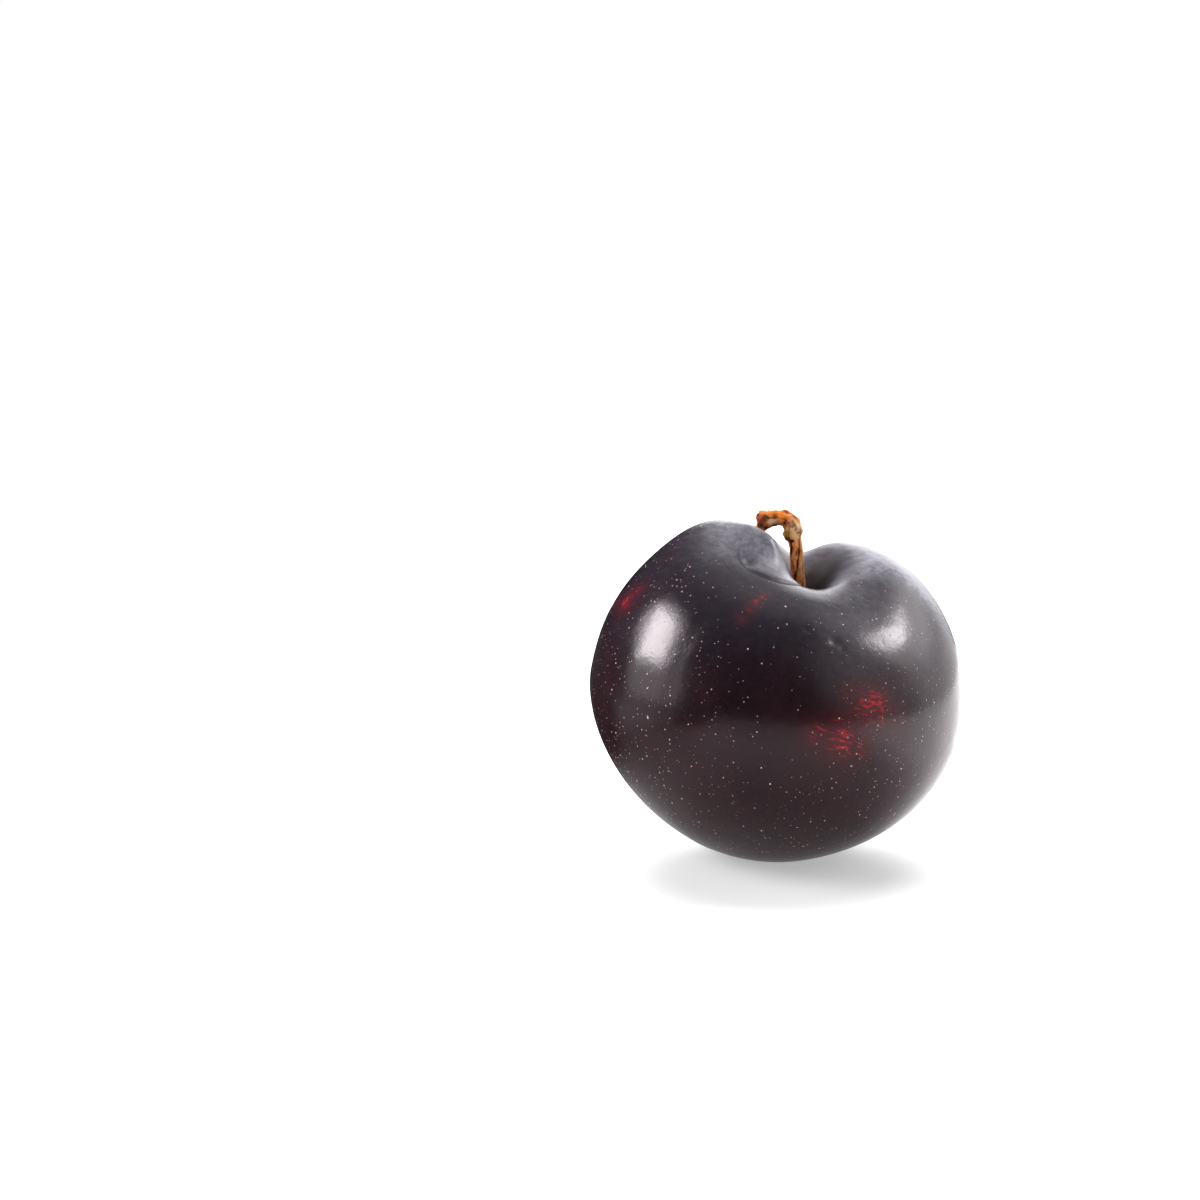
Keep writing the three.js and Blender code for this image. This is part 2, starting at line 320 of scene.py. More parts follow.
def fruitSurface():
    # the turned profile, lowered along the front, lifted by the shoulder forms and the collar, and leaned;
    # then pushed out and in by unevenness, folds, suture, nicks and the style scar
    radius, height, ends = plainProfile()
    angle = np.linspace(-np.pi, np.pi, fruit["sides"], endpoint=False)
    radius, angle = np.meshgrid(radius, angle, indexing="ij")
    height = np.broadcast_to(height[:, None], radius.shape)
    x, y = radius * np.cos(angle), radius * np.sin(angle)
    upper = smoothStep(height, 0, fruit["shoulderFade"])
    power, front = fruit["shoulderSquareness"], fruit["front"]
    outwards = np.clip(radius / fruit["halfWidth"], 0, 1)
    shoulder = fruit["shoulderHeight"] * (1 - outwards ** power) ** (1 / power)
    lowered = bell(turnBetween(angle, math.radians(front["towards"])), math.radians(front["halfAngle"]))
    lowered *= front["drop"] * (1 - bell(radius, front["nearAxis"])) * (height > 0)
    lifted = height - lowered * shoulder + upper * shoulderForms(x, y, radius, angle)
    collar = fruit["collar"]
    fromStem = np.hypot(x - collar["place"][0], y - collar["place"][1])
    insideCavity = upper * bell(radius, collar["reach"])
    lifted += insideCavity * collar["rise"] * bell(fromStem - collar["radius"], collar["halfWidth"])
    body = lean(stacked(x, y, lifted))

    outward = np.cross(np.roll(body, -1, 1) - np.roll(body, 1, 1), np.gradient(body, axis=0))
    outward /= np.maximum(np.linalg.norm(outward, axis=-1, keepdims=True), 1e-9)
    folds, suture, scar = fruit["folds"], fruit["suture"], fruit["styleScar"]
    push = sum(rise * softNoise(body, size, seed) for size, rise, seed in fruit["unevenness"])
    sectors = folds["sectors"]
    sector = stacked(np.cos(angle) * sectors, np.sin(angle) * sectors, radius / folds["length"])
    intoCavity = upper * bell(radius - folds["ring"], folds["reach"])
    push += folds["height"] * intoCavity * softNoise(sector, 1, folds["seed"])
    fromSuture = radius * turnBetween(angle, math.radians(suture["angle"]))
    push -= suture["depth"] * bell(fromSuture, suture["halfWidth"])
    for place, depth, spread in fruit["nicks"]:
        push -= depth * nearness(body, place, spread)
    blossomEnd = lean(np.array([0, 0, ends[0]]))
    push -= scar["depth"] * nearness(body, blossomEnd, scar["radius"])
    settled = smoothStep(body[..., 2], 0, fruit["settleHeight"])
    body = body + outward * (push * settled)[..., None]

    fields = {"x": x, "y": y, "radius": radius, "upper": upper, "blossomEnd": blossomEnd}
    cavityFloor = lean(np.array([0, 0, ends[1]]))
    whole = np.concatenate([body.reshape(-1, 3), [blossomEnd, cavityFloor]])
    whole[:, 2] = np.maximum(whole[:, 2], 0)
    whole = fitToNode(whole, "plum")
    return whole[:-2].reshape(body.shape), whole[-2], whole[-1], fields


def bloomField(points, fields, cavityShadeMask):
    # bells over the distance from the axis, thinned in front and in the cavity, times soft clouds, and a haze
    # that grows with height
    dust, radius = fruit["bloom"], fields["radius"]
    rightSide = smoothStep(fields["x"], *dust["rightSide"])
    bloom = sum(strength * bell(radius - ring, spread) for strength, ring, spread in dust["rings"])
    strength, ring, spread = dust["rightRing"]
    bloom = bloom + strength * rightSide * bell(radius - ring, spread)
    behindEdge = smoothStep(fields["y"] - dust["edgeShift"] * rightSide, *dust["frontEdge"])
    thinned = dust["inFront"] + (1 - dust["inFront"]) * behindEdge
    bloom *= fields["upper"] * thinned * (1 - dust["lostInCavity"] * cavityShadeMask)
    clouds = softNoise(points, dust["cloudSize"], dust["seed"])
    bloom *= dust["cloudMean"] + dust["clouds"] * clouds
    return bloom + dust["haze"] * smoothStep(points[..., 2], *dust["hazeHeights"])


def dotsField(points, fields):
    # grows with the distance from the middle and towards the ground, and falls round the cavity
    shares, radius, upper = fruit["dotShares"], fields["radius"], fields["upper"]
    fromMiddle = np.abs(points[..., 0] - shares["middleAt"])
    atSides = smoothStep(fromMiddle, *shares["sides"]) * (1 - upper * bell(radius, shares["topRadius"]))
    dots = shares["middle"] + (1 - shares["middle"]) * atSides
    below = 1 - smoothStep(points[..., 2], *shares["belowHeights"])
    dots = np.maximum(dots, shares["below"] * below)
    return dots * (1 - shares["bareShare"] * upper * bell(radius, shares["bareRadius"]))


def paintFields(points, fields):
    # where the skin's bloom, blush, dots, scars and painted shade lie; where patches of a kind overlap, the
    # strongest counts
    radius, upper = fields["radius"], fields["upper"]
    foot, dent, nickShade = fruit["foot"], fruit["dent"], fruit["nickShade"]
    fromAbove = stacked(fields["x"], fields["y"])
    # painted shade in the cavity: deep round the stem, and on the foot's flank beside it
    cavityShadeMask = np.zeros_like(radius)
    for place, spread in fruit["cavityShade"]:
        cavityShadeMask = np.maximum(cavityShadeMask, upper * nearness(fromAbove, place, spread))
    painted = {"bloom": bloomField(points, fields, cavityShadeMask), "dots": dotsField(points, fields)}
    for name, *_ in fruit["streaks"]:
        painted[name] = np.zeros_like(radius)
    for kind, place, reach, strength in fruit["blushPatches"]:
        name = fruit["streaks"][kind][0]
        painted[name] = np.maximum(painted[name], strength * nearness(points, place, reach))
    # the style scar and the nicks share one mask with the cavity's painted shade
    scarsAndShade = nearness(points, fields["blossomEnd"], fruit["styleScar"]["shadeRadius"])
    scarsAndShade = np.maximum(scarsAndShade, cavityShadeMask)
    for place, depth, spread in fruit["nicks"]:
        shade = nearness(points, place, spread * nickShade["reach"])
        scarsAndShade = np.maximum(scarsAndShade, depth / nickShade["fullDepth"] * shade)
    painted["scarsAndShade"] = scarsAndShade
    # painted shade along the crease in front of the foot, and in the dent's spot
    onCrease = footPad(fields["x"], fields["y"])[1]
    inDent = nearness(fromAbove, dent["spot"], dent["spotRadius"])
    creaseShade = upper * (foot["creaseShade"] * onCrease + dent["spotShade"] * inDent)
    painted["creaseShade"] = np.clip(creaseShade, 0, 1)
    return painted


# Materials are built from nodes with the same few helpers

def newMaterial(name):
    material = bpy.data.materials.new(name)
    material.use_nodes = True
    return material, material.node_tree, material.node_tree.nodes["Principled BSDF"]


def addNode(tree, kind, inputs=None, **settings):
    # a socket among the inputs is linked, anything else is set as the value
    node = tree.nodes.new(kind)
    for setting, value in settings.items():
        setattr(node, setting, value)
    for socket, value in (inputs or {}).items():
        if isinstance(value, bpy.types.NodeSocket):
            tree.links.new(value, node.inputs[socket])
        else:
            node.inputs[socket].default_value = value
    return node


def tone(red, green, blue):
    # a colour as it looks on screen, 0 to 255, turned into the shader's linear values
    shares = (np.array([red, green, blue]) / 255 + 0.055) / 1.055
    return (*(shares ** 2.4), 1)


def mixed(tree, share, first, second):
    # the first colour, covered by the second one by this share
    node = addNode(tree, "ShaderNodeMix", {0: share, 6: first, 7: second}, data_type="RGBA")
    return node.outputs[2]


def math2(tree, operation, first, second=0.0, clamp=False):
    node = addNode(tree, "ShaderNodeMath", {0: first, 1: second}, operation=operation, use_clamp=clamp)
    return node.outputs[0]


def plus(tree, base, value, share):
    # the base and a share of the value
    return math2(tree, "ADD", base, math2(tree, "MULTIPLY", value, share))


def ramp(tree, value, low, high, start=0.0, end=1.0):
    # a smooth S from start to end as the value goes from low to high
    inputs = {"Value": value, "From Min": low, "From Max": high, "To Min": start, "To Max": end}
    return addNode(tree, "ShaderNodeMapRange", inputs, interpolation_type="SMOOTHSTEP").outputs["Result"]


def field(tree, name):
    return addNode(tree, "ShaderNodeAttribute", attribute_name=name).outputs["Fac"]


def noise(tree, vector, size, detail=3, roughness=0.55):
    inputs = {"Vector": vector, "Scale": 1 / (size * millimetre), "Detail": detail, "Roughness": roughness}
    return addNode(tree, "ShaderNodeTexNoise", inputs).outputs["Fac"]


def skinDots(tree, place):
    # balls scattered in space, cut by the skin into round dots; a random number for each sets its size and
    # whether it shows
    shape = fruit["dots"]
    inputs = {"Vector": place, "Scale": 1 / (shape["spacing"] * millimetre), "Randomness": 1.0}
    cells = addNode(tree, "ShaderNodeTexVoronoi", inputs, voronoi_dimensions="3D")
    distance = cells.outputs["Distance"]
    chance = addNode(tree, "ShaderNodeSeparateColor", {"Color": cells.outputs["Color"]})
    growth = math2(tree, "POWER", chance.outputs[0], shape["power"])
    size = plus(tree, shape["smallest"], growth, shape["growth"])
    inner = math2(tree, "SUBTRACT", size, shape["edge"])
    inputs = {"Value": distance, "From Min": size, "From Max": inner}
    spot = addNode(tree, "ShaderNodeMapRange", inputs, clamp=True).outputs["Result"]
    shows = math2(tree, "LESS_THAN", chance.outputs[1], field(tree, "dots"))
    hasHalo = math2(tree, "GREATER_THAN", chance.outputs[2], shape["haloAbove"])
    halo = math2(tree, "MULTIPLY", ramp(tree, distance, *shape["halo"]), hasHalo)
    return math2(tree, "MULTIPLY", spot, shows), math2(tree, "MULTIPLY", halo, shows), chance.outputs[2]


def strokeNoise(tree, place, turn, length, width, shift):
    # noise stretched along one direction
    turned = addNode(tree, "ShaderNodeMapping", {"Vector": place, "Rotation": turn, "Location": shift})
    inputs = {0: turned.outputs[0], 1: (1 / length, 1 / width, 1 / width)}
    squeezed = addNode(tree, "ShaderNodeVectorMath", inputs, operation="MULTIPLY")
    return noise(tree, squeezed.outputs[0], 1.0, detail=3, roughness=0.6)


def skinColour(tree, place, colour, low, high, bloom):
    # brown low down, blue high up, then bloom, a faint blush and its streaks
    skin, streakLevel = fruit["skin"], fruit["streakLevel"]
    colour = mixed(tree, low, colour, tone(*skin["brown"]))
    colour = mixed(tree, high, colour, tone(*skin["blue"]))
    colour = mixed(tree, math2(tree, "MULTIPLY", bloom, skin["bloomCover"]), colour, tone(*skin["bloom"]))
    streaks = None
    for name, turn, length, width, shift in fruit["streaks"]:
        pattern = strokeNoise(tree, place, (0.0, math.radians(turn), 0.0), length, width, shift)
        amount = field(tree, name)
        lowered = math2(tree, "MULTIPLY", amount, streakLevel["lowered"])
        level = math2(tree, "SUBTRACT", streakLevel["level"], lowered)
        inputs = {"Value": pattern, "From Min": level,
                  "From Max": math2(tree, "ADD", level, streakLevel["softness"])}
        crest = addNode(tree, "ShaderNodeMapRange", inputs).outputs["Result"]
        crest = math2(tree, "MULTIPLY", crest, math2(tree, "POWER", amount, streakLevel["strengthPower"]))
        streaks = crest if streaks is None else math2(tree, "MAXIMUM", streaks, crest)
        faint = math2(tree, "MULTIPLY", amount, skin["blushCover"])
        colour = mixed(tree, faint, colour, tone(*skin["blush"]))
    return mixed(tree, math2(tree, "MULTIPLY", streaks, skin["streakCover"]), colour, tone(*skin["blush"]))


def skinMaterial():
    # colour, roughness and relief are layers over clouds and mottles; bloom, streaks and dots are masks
    skin, wisps = fruit["skin"], fruit["wisps"]
    material, tree, surface = newMaterial("plumSkin")
    place = addNode(tree, "ShaderNodeTexCoord").outputs["Object"]
    clouds = noise(tree, place, *skin["clouds"])
    mottles = noise(tree, place, *skin["mottles"])
    height = addNode(tree, "ShaderNodeSeparateXYZ", {0: place}).outputs["Z"]
    low = math2(tree, "MULTIPLY", ramp(tree, height, *skin["brownHeights"]), skin["brownCover"])
    high = ramp(tree, height, *skin["blueHeights"])
    high = math2(tree, "MULTIPLY", high, ramp(tree, mottles, *skin["blueRange"]))
    strokes = strokeNoise(tree, place, wisps["turn"], wisps["length"], wisps["width"], wisps["shift"])
    strokes = ramp(tree, strokes, *wisps["range"])
    bloom = math2(tree, "MULTIPLY", field(tree, "bloom"), strokes, clamp=True)
    colour = mixed(tree, ramp(tree, clouds, *skin["cloudRange"]), tone(*skin["deep"]), tone(*skin["brown"]))
    colour = skinColour(tree, place, colour, low, high, bloom)

    spots, halos, shade = skinDots(tree, place)
    colour = mixed(tree, math2(tree, "MULTIPLY", halos, skin["haloCover"]), colour, tone(*skin["dotHalo"]))
    bright = math2(tree, "MULTIPLY", spots, ramp(tree, shade, 0.0, 1.0, *fruit["dots"]["brightness"]))
    colour = mixed(tree, bright, colour, tone(*skin["dot"]))
    # scars, and the painted shade in the cavity, along the crease and in the dent, take the scar colour and
    # dull the gloss
    marks = math2(tree, "MAXIMUM", field(tree, "scarsAndShade"), field(tree, "creaseShade"))
    dark = math2(tree, "MULTIPLY", marks, skin["scarAndShadeCover"], clamp=True)
    colour = mixed(tree, dark, colour, tone(*skin["scar"]))
    tree.links.new(colour, surface.inputs["Base Color"])

    rough = plus(tree, skin["roughness"], bloom, skin["bloomDulls"])
    rough = plus(tree, rough, ramp(tree, mottles, *skin["dullRange"]), skin["mottlesDull"])
    rough = plus(tree, rough, spots, skin["dotsDull"])
    rough = plus(tree, rough, marks, skin["scarsAndShadeDull"])
    tree.links.new(rough, surface.inputs["Roughness"])
    surface.inputs["IOR"].default_value = skin["refraction"]
    surface.inputs["Specular Tint"].default_value = skin["gloss"]

    relief = math2(tree, "MULTIPLY", noise(tree, place, *skin["pores"]), skin["poreRelief"])
    relief = plus(tree, relief, spots, skin["dotRelief"])
    relief = plus(tree, relief, noise(tree, place, *skin["ripples"]), skin["rippleRelief"])
    inputs = {"Height": relief, "Strength": skin["reliefStrength"], "Distance": skin["reliefDepth"]}
    tree.links.new(addNode(tree, "ShaderNodeBump", inputs).outputs["Normal"], surface.inputs["Normal"])
    return material


points, fruitStart, fruitEnd, fruitFields = fruitSurface()
plumPiece = closedPiece("plumSkin", points, fruitStart, fruitEnd)
for fieldName, values in paintFields(points, fruitFields).items():
    addField(plumPiece, fieldName, values)
plumPiece.data.materials.append(skinMaterial())
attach(plumPiece, "root")
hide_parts("plum")
print("fruit done:", len(plumPiece.data.polygons), "faces")


# The stem: a ridged, cracked bar along a bent line, knobbly at the bend and splintered at the broken end

stem = {
    "line": [
        (2.65, -1.05, 40.8), (2.95, -1.05, 42.5), (3.15, -1.05, 44.2), (3.08, -1.05, 46.0),
        (2.91, -1.05, 47.7), (2.67, -1.05, 50.2), (2.53, -1.1, 52.4), (2.37, -1.1, 53.5),
        (2.08, -1.15, 54.5), (1.83, -1.15, 55.6), (1.47, -1.15, 56.45), (0.9, -1.15, 57.0),
        (0.15, -1.2, 57.22), (-1, -1.25, 57.2), (-2.15, -1.3, 57.0), (-3.15, -1.35, 56.93), (-4, -1.4, 56.74),
    ],
    "radius": 1.08, "sides": 96, "steps": 460, "endRings": 22, "endRingPower": 0.8,
    # share of the length, rise, spread
    "swellings": [(0.08, 0.3, 0.06), (0.69, 0.36, 0.07), (0.84, 0.22, 0.07), (0.97, 0.52, 0.07)],
    "ridges": 5, "ridgeHeight": 0.13, "ridgePower": 0.7, "twist": 0.55, "wander": 1.5,
    "fibreHeight": 0.07, "fineFibres": 0.5, "lumpHeight": 0.13, "wartHeight": 0.11, "shaftWarts": 0.25,
    "crackDepth": 0.2, "crackRange": (0.28, 0.6), "shaftCracks": 0.35,
    "knobbyFrom": (0.56, 0.66),  # shares of the length where the lumps start and are full
    "endFrom": (0.88, 1.0), "splinter": 0.3, "fineSplinters": 0.7, "endSlant": 0.7,
    "endHollow": 0.9, "endHollowPower": 0.6, "endRoughness": 0.25, "endGrain": (2.2, 38),
    "grain": {  # detail round the stem, length of one hill along it, seed
        "wander": (1, 3.5, 31), "fibres": (4.5, 1.4, 32), "fineFibres": (9, 1.1, 33), "lumps": (1.6, 0.9, 34),
        "cracks": (3.2, 2.2, 35), "splinters": (2.4, 1, 36), "fineSplinters": (6, 1, 37),
        "warts": (3, 0.45, 39),
    },
    # share of the length, angle (0 is the left of the shaft and the underside of the arm), rise, radius
    "knobs": [
        (0.655, -150, 0.38, 0.55), (0.70, -125, 0.34, 0.5), (0.675, -85, 0.34, 0.5), (0.63, -25, 0.42, 0.6),
        (0.66, 5, 0.3, 0.5), (0.72, 170, 0.3, 0.55), (0.69, 120, 0.36, 0.6), (0.64, 60, 0.3, 0.6),
        (0.75, -100, 0.26, 0.45), (0.8, 165, 0.2, 0.5), (0.85, -140, 0.26, 0.5), (0.9, -170, 0.3, 0.5),
        (0.92, -70, 0.34, 0.5), (0.95, 0, 0.34, 0.6), (0.94, 80, 0.3, 0.7), (0.975, -120, 0.3, 0.45),
        (0.985, -20, 0.35, 0.5), (0.985, 20, 0.3, 0.5), (0.99, 160, 0.25, 0.5),
        (0.3, -100, 0.1, 0.5), (0.45, -60, 0.09, 0.5), (0.52, 140, 0.12, 0.6),
    ],
    "pits": [  # the same, with the depth in place of the rise
        (0.68, -108, 0.42, 0.28), (0.655, -118, 0.3, 0.22), (0.71, -95, 0.3, 0.22), (0.87, -105, 0.45, 0.32),
        (0.93, -110, 0.3, 0.3), (0.78, -60, 0.3, 0.4), (0.6, -60, 0.25, 0.3),
    ],
    "knobScale": 1.2,  # millimetres round the stem for each radian, where knobs and pits are placed
    "darkness": {  # how dark ridges, cracks and pits are, and how pale fibres and warts
        "ridges": 1.4, "cracks": 0.9, "fibres": 0.35, "warts": 0.25, "pits": 1.2, "most": 1.4,
        "end": 0.45, "endHollow": 0.25, "endHollowScale": 2,
    },
    "bark": {
        "crack": (48, 20, 12), "red": (150, 62, 24), "orange": (222, 116, 40), "tan": (240, 174, 108),
        "pale": (246, 212, 168), "glow": (255, 138, 12), "moss": (188, 168, 62),
        # patterns: size in millimetres, detail, roughness
        "fibres": (0.35, 4, 0.65), "blotches": (1.3, 4, 0.6), "specks": (0.25, 3, 0.6), "drawnOut": 0.22,
        # what each adds to the level that picks the colour, and where each colour starts and is full
        "fibreLevel": 0.75, "grooveLevel": -0.5, "blotchLevel": 0.75, "speckLevel": 0.34, "lowered": 0.07,
        "levels": [("red", 0.28, 0.52), ("orange", 0.46, 0.68), ("tan", 0.68, 0.86), ("pale", 0.9, 1.05)],
        "patchRange": (0.35, 0.8, 0.45, 1.0), "roughRange": (0.3, 1.0, 0.85, 0.6), "specular": 0.25,
        "fibreRelief": 0.7, "speckRelief": 0.4, "reliefStrength": 0.7, "reliefDepth": 0.00012,
    },
    "patches": [  # colour, place, reach, strength
        ("glow", (-0.05, -2.15, 58.1), 1.1, 1.0),
        ("glow", (-4.25, -2.35, 55.7), 0.8, 0.8),
        # the tan patches down the shaft are painted light: a highlight on its right edge and a pale
        # reflection on its left edge
        ("tan", (4.15, -1.55, 50.0), 0.8, 0.9),
        ("tan", (4.05, -1.55, 47.4), 0.7, 0.75),
        ("tan", (3.95, -1.55, 52.6), 0.7, 0.75),
        ("tan", (1.5, -1.75, 51.0), 0.45, 0.6),
        ("moss", (1.1, -2.35, 54.6), 0.75, 0.85),
        ("pale", (2.65, -2.55, 55.6), 1.2, 1.0),
        ("pale", (2.95, -2.35, 54.2), 0.7, 0.7),
        ("pale", (-1.45, -2.65, 57.0), 0.55, 0.8),
        ("glow", (-1.6, -2.0, 58.3), 1.2, 0.9),
        ("glow", (-3.2, -2.2, 58.2), 0.7, 0.7),
        ("crack", (-0.9, -2.15, 56.0), 1.0, 0.9),
        ("crack", (-2.85, -2.75, 57.2), 0.7, 1.0),
        ("crack", (-1.15, -2.5, 57.5), 0.45, 1.0),
        ("crack", (-2.2, -2.15, 55.6), 1.1, 0.9),
        ("crack", (-3.5, -2.55, 56.2), 0.9, 1.0),
        ("crack", (-2.4, -2.75, 58.0), 0.4, 0.8),
        ("red", (-3.9, -2.35, 57.4), 1.6, 1.0),
        ("red", (0.9, -2.35, 56.4), 1.0, 0.7),
        ("crack", (2.6, -2.35, 51.2), 0.35, 0.7),
        ("crack", (2.9, -2.35, 48.6), 0.35, 0.7),
    ],
    "paintOrder": ("red", "glow", "tan", "moss", "pale", "crack"),  # each is painted over those before it
}


def grain(name, angle, place):
    # soft noise on the stem's round side: an angle's cosine and sine, and the place along the stem
    around, length, seed = stem["grain"][name]
    return softNoise(stacked(np.cos(angle) * around, np.sin(angle) * around, place / length), 1, seed)


def stemSurface():
    # a tube: its radius is the sum of the shaft, swellings, twisted ridges, fibres, lumps, warts, cracks,
    # knobs and pits; then a rough broken end that closes to the middle
    shares = np.linspace(0, 1, stem["steps"])
    centre, length = smoothLine(stem["line"], shares)
    along = np.gradient(centre, axis=0)
    along /= np.linalg.norm(along, axis=1, keepdims=True)
    away = np.array([0, 1, 0]) - along[:, 1:2] * along
    away /= np.linalg.norm(away, axis=1, keepdims=True)
    left = np.cross(along, away)
    angles = np.linspace(-np.pi, np.pi, stem["sides"], endpoint=False)
    share, angle = np.meshgrid(shares, angles, indexing="ij")
    place = share * length
    radius = np.full_like(share, stem["radius"])
    for at, rise, spread in stem["swellings"]:
        radius += rise * bell(share - at, spread)
    twisted = angle + 2 * np.pi * stem["twist"] * share
    wander = stem["wander"] * grain("wander", angle, place)
    ridge = np.abs(np.sin((stem["ridges"] * twisted + wander) / 2))
    betweenRidges = 1 - ridge ** stem["ridgePower"]
    radius += stem["ridgeHeight"] * (0.5 - betweenRidges)
    fibre = grain("fibres", twisted, place) + stem["fineFibres"] * grain("fineFibres", twisted, place)
    radius += stem["fibreHeight"] * fibre
    knobby = smoothStep(share, *stem["knobbyFrom"])
    radius += knobby * stem["lumpHeight"] * grain("lumps", angle, place)
    warts = grain("warts", angle, place)
    radius += (stem["shaftWarts"] + (1 - stem["shaftWarts"]) * knobby) * stem["wartHeight"] * warts
    cracks = smoothStep(grain("cracks", angle, place), *stem["crackRange"])
    radius -= cracks * stem["crackDepth"] * (stem["shaftCracks"] + (1 - stem["shaftCracks"]) * knobby)
    pits = np.zeros_like(share)
    for sign, marks in ((1, stem["knobs"]), (-1, stem["pits"])):
        for at, direction, rise, reach in marks:
            fromKnob = turnBetween(angle, math.radians(direction)) * stem["knobScale"]
            gap = np.hypot((share - at) * length, fromKnob)
            radius += sign * rise * bell(gap, reach)
            pits = np.maximum(pits, bell(gap, reach) * (sign < 0))

    # the end: rings that shrink to the middle, pushed out and in by splinters that are longest at the rim
    inward = np.linspace(1, 0, stem["endRings"] + 1)[1:-1, None] ** stem["endRingPower"]
    tip = grain("splinters", angles, 0) + stem["fineSplinters"] * grain("fineSplinters", angles, 0)
    endAngle = np.broadcast_to(angles, (len(inward), stem["sides"]))
    endRadius = inward * radius[-1]
    endLeft, endAway = endRadius * np.cos(endAngle), endRadius * np.sin(endAngle)
    depth = stem["splinter"] * (tip * inward - stem["endHollow"] * (1 - inward) ** stem["endHollowPower"])
    detail, seed = stem["endGrain"]
    depth += stem["endRoughness"] * softNoise(stacked(endLeft * detail, endAway * detail, 0), 1, seed)
    depth += stem["endSlant"] * np.cos(endAngle) * inward
    reach = stem["splinter"] * tip + stem["endSlant"] * np.cos(angle)
    reach = reach * smoothStep(share, *stem["endFrom"])
    sideways = np.cos(angle)[..., None] * left[:, None] + np.sin(angle)[..., None] * away[:, None]
    tube = centre[:, None] + along[:, None] * reach[..., None] + radius[..., None] * sideways
    end = centre[-1] + along[-1] * depth[..., None]
    end = end + endLeft[..., None] * left[-1] + endAway[..., None] * away[-1]
    rings = np.concatenate([tube, end])
    whole = fitToNode(np.concatenate([rings.reshape(-1, 3), [centre[0], end[-1].mean(0)]]), "stem")

    dark = stem["darkness"]
    groove = dark["ridges"] * betweenRidges ** 2 + dark["cracks"] * cracks - dark["fibres"] * fibre
    groove += dark["pits"] * pits - dark["warts"] * warts
    endGroove = dark["end"] + dark["endHollow"] * np.clip(-dark["endHollowScale"] * depth, 0, 1)
    straight = stacked(radius * np.cos(angle), radius * np.sin(angle), place + reach)
    fields = {
        "groove": np.concatenate([np.clip(groove, 0, dark["most"]), endGroove]),
        "barkPlace": np.concatenate([straight, stacked(endLeft, endAway, length + depth)]) * millimetre,
    }
    return whole[:-2].reshape(rings.shape), whole[-2], whole[-1], fields


def barkMaterial():
    # a level worked out from grooves and noise picks a colour from dark cracks to pale ridges; patches follow
    bark = stem["bark"]
    material, tree, surface = newMaterial("stemBark")
    surface.inputs["Specular IOR Level"].default_value = bark["specular"]
    place = addNode(tree, "ShaderNodeAttribute", attribute_name="barkPlace").outputs["Vector"]
    inputs = {0: place, 1: (1.0, 1.0, bark["drawnOut"])}
    drawn = addNode(tree, "ShaderNodeVectorMath", inputs, operation="MULTIPLY").outputs[0]
    fibres = noise(tree, drawn, *bark["fibres"])
    specks = noise(tree, place, *bark["specks"])
    level = math2(tree, "MULTIPLY", fibres, bark["fibreLevel"])
    level = plus(tree, level, field(tree, "groove"), bark["grooveLevel"])
    level = plus(tree, level, noise(tree, place, *bark["blotches"]), bark["blotchLevel"])
    level = plus(tree, level, specks, bark["speckLevel"])
    level = math2(tree, "SUBTRACT", level, bark["lowered"])
    colour = tone(*bark["crack"])
    for shade, low, high in bark["levels"]:
        colour = mixed(tree, ramp(tree, level, low, high), colour, tone(*bark[shade]))
    patchy = ramp(tree, level, *bark["patchRange"])
    # among the patches, the tan ones paint a highlight and a reflection along the shaft's edges
    for shade in stem["paintOrder"]:
        amount = math2(tree, "MULTIPLY", field(tree, shade), patchy, clamp=True)
        colour = mixed(tree, amount, colour, tone(*bark[shade]))
    tree.links.new(colour, surface.inputs["Base Color"])
    tree.links.new(ramp(tree, level, *bark["roughRange"]), surface.inputs["Roughness"])
    relief = math2(tree, "MULTIPLY", fibres, bark["fibreRelief"])
    relief = plus(tree, relief, specks, bark["speckRelief"])
    inputs = {"Height": relief, "Strength": bark["reliefStrength"], "Distance": bark["reliefDepth"]}
    tree.links.new(addNode(tree, "ShaderNodeBump", inputs).outputs["Normal"], surface.inputs["Normal"])
    return material


points, stemStart, stemEnd, stemFields = stemSurface()
stemPiece = closedPiece("dryStem", points, stemStart, stemEnd)
for fieldName, values in stemFields.items():
    addField(stemPiece, fieldName, values)
for shade in stem["paintOrder"]:
    patches = [strength * nearness(points, place, reach)
               for name, place, reach, strength in stem["patches"] if name == shade]
    addField(stemPiece, shade, np.max(patches, axis=0))
stemPiece.data.materials.append(barkMaterial())
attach(stemPiece, "root")
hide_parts("stem")
print("stem done:", len(stemPiece.data.polygons), "faces")


# The studio: a pale floor, soft patches of light that the gloss reflects, and three softboxes

floorLook = {
    "halfSize": 3.0, "colour": (0.76, 0.76, 0.765), "roughness": 0.7, "specular": 0.2,
    "fades": (0.4, 1.4), "glow": (0.4, 1.0),  # from this distance to this one it turns into a plain glow
    # how bright the gloss reflects it: a level, then bands by the distance towards an azimuth, with where
    # each band starts and ends, its value at the start and at the end, and how it joins what is there
    "inGloss": 0.58,
    "bands": [
        (60, 0.004, 0.06, 0.0, 1.0, "ADD"),
        (-59, 0.004, 0.06, 1.0, 0.0, "MULTIPLY"),
        (180, 0.08, 0.52, 1.0, 0.0, "MULTIPLY"),
    ],
    # and a wedge that runs off to the left, below the left softbox
    "wedge": {"azimuth": -99, "slopes": (0.15, 0.5, 0.42, 0.0), "starts": (0.03, 0.12)},
}


def directionTo(azimuth, elevation):
    # one unit long: azimuth from straight behind towards the right, elevation from the floor up
    side, rise = math.radians(azimuth), math.radians(elevation)
    return Vector((math.sin(side) * math.cos(rise), math.cos(side) * math.cos(rise), math.sin(rise)))


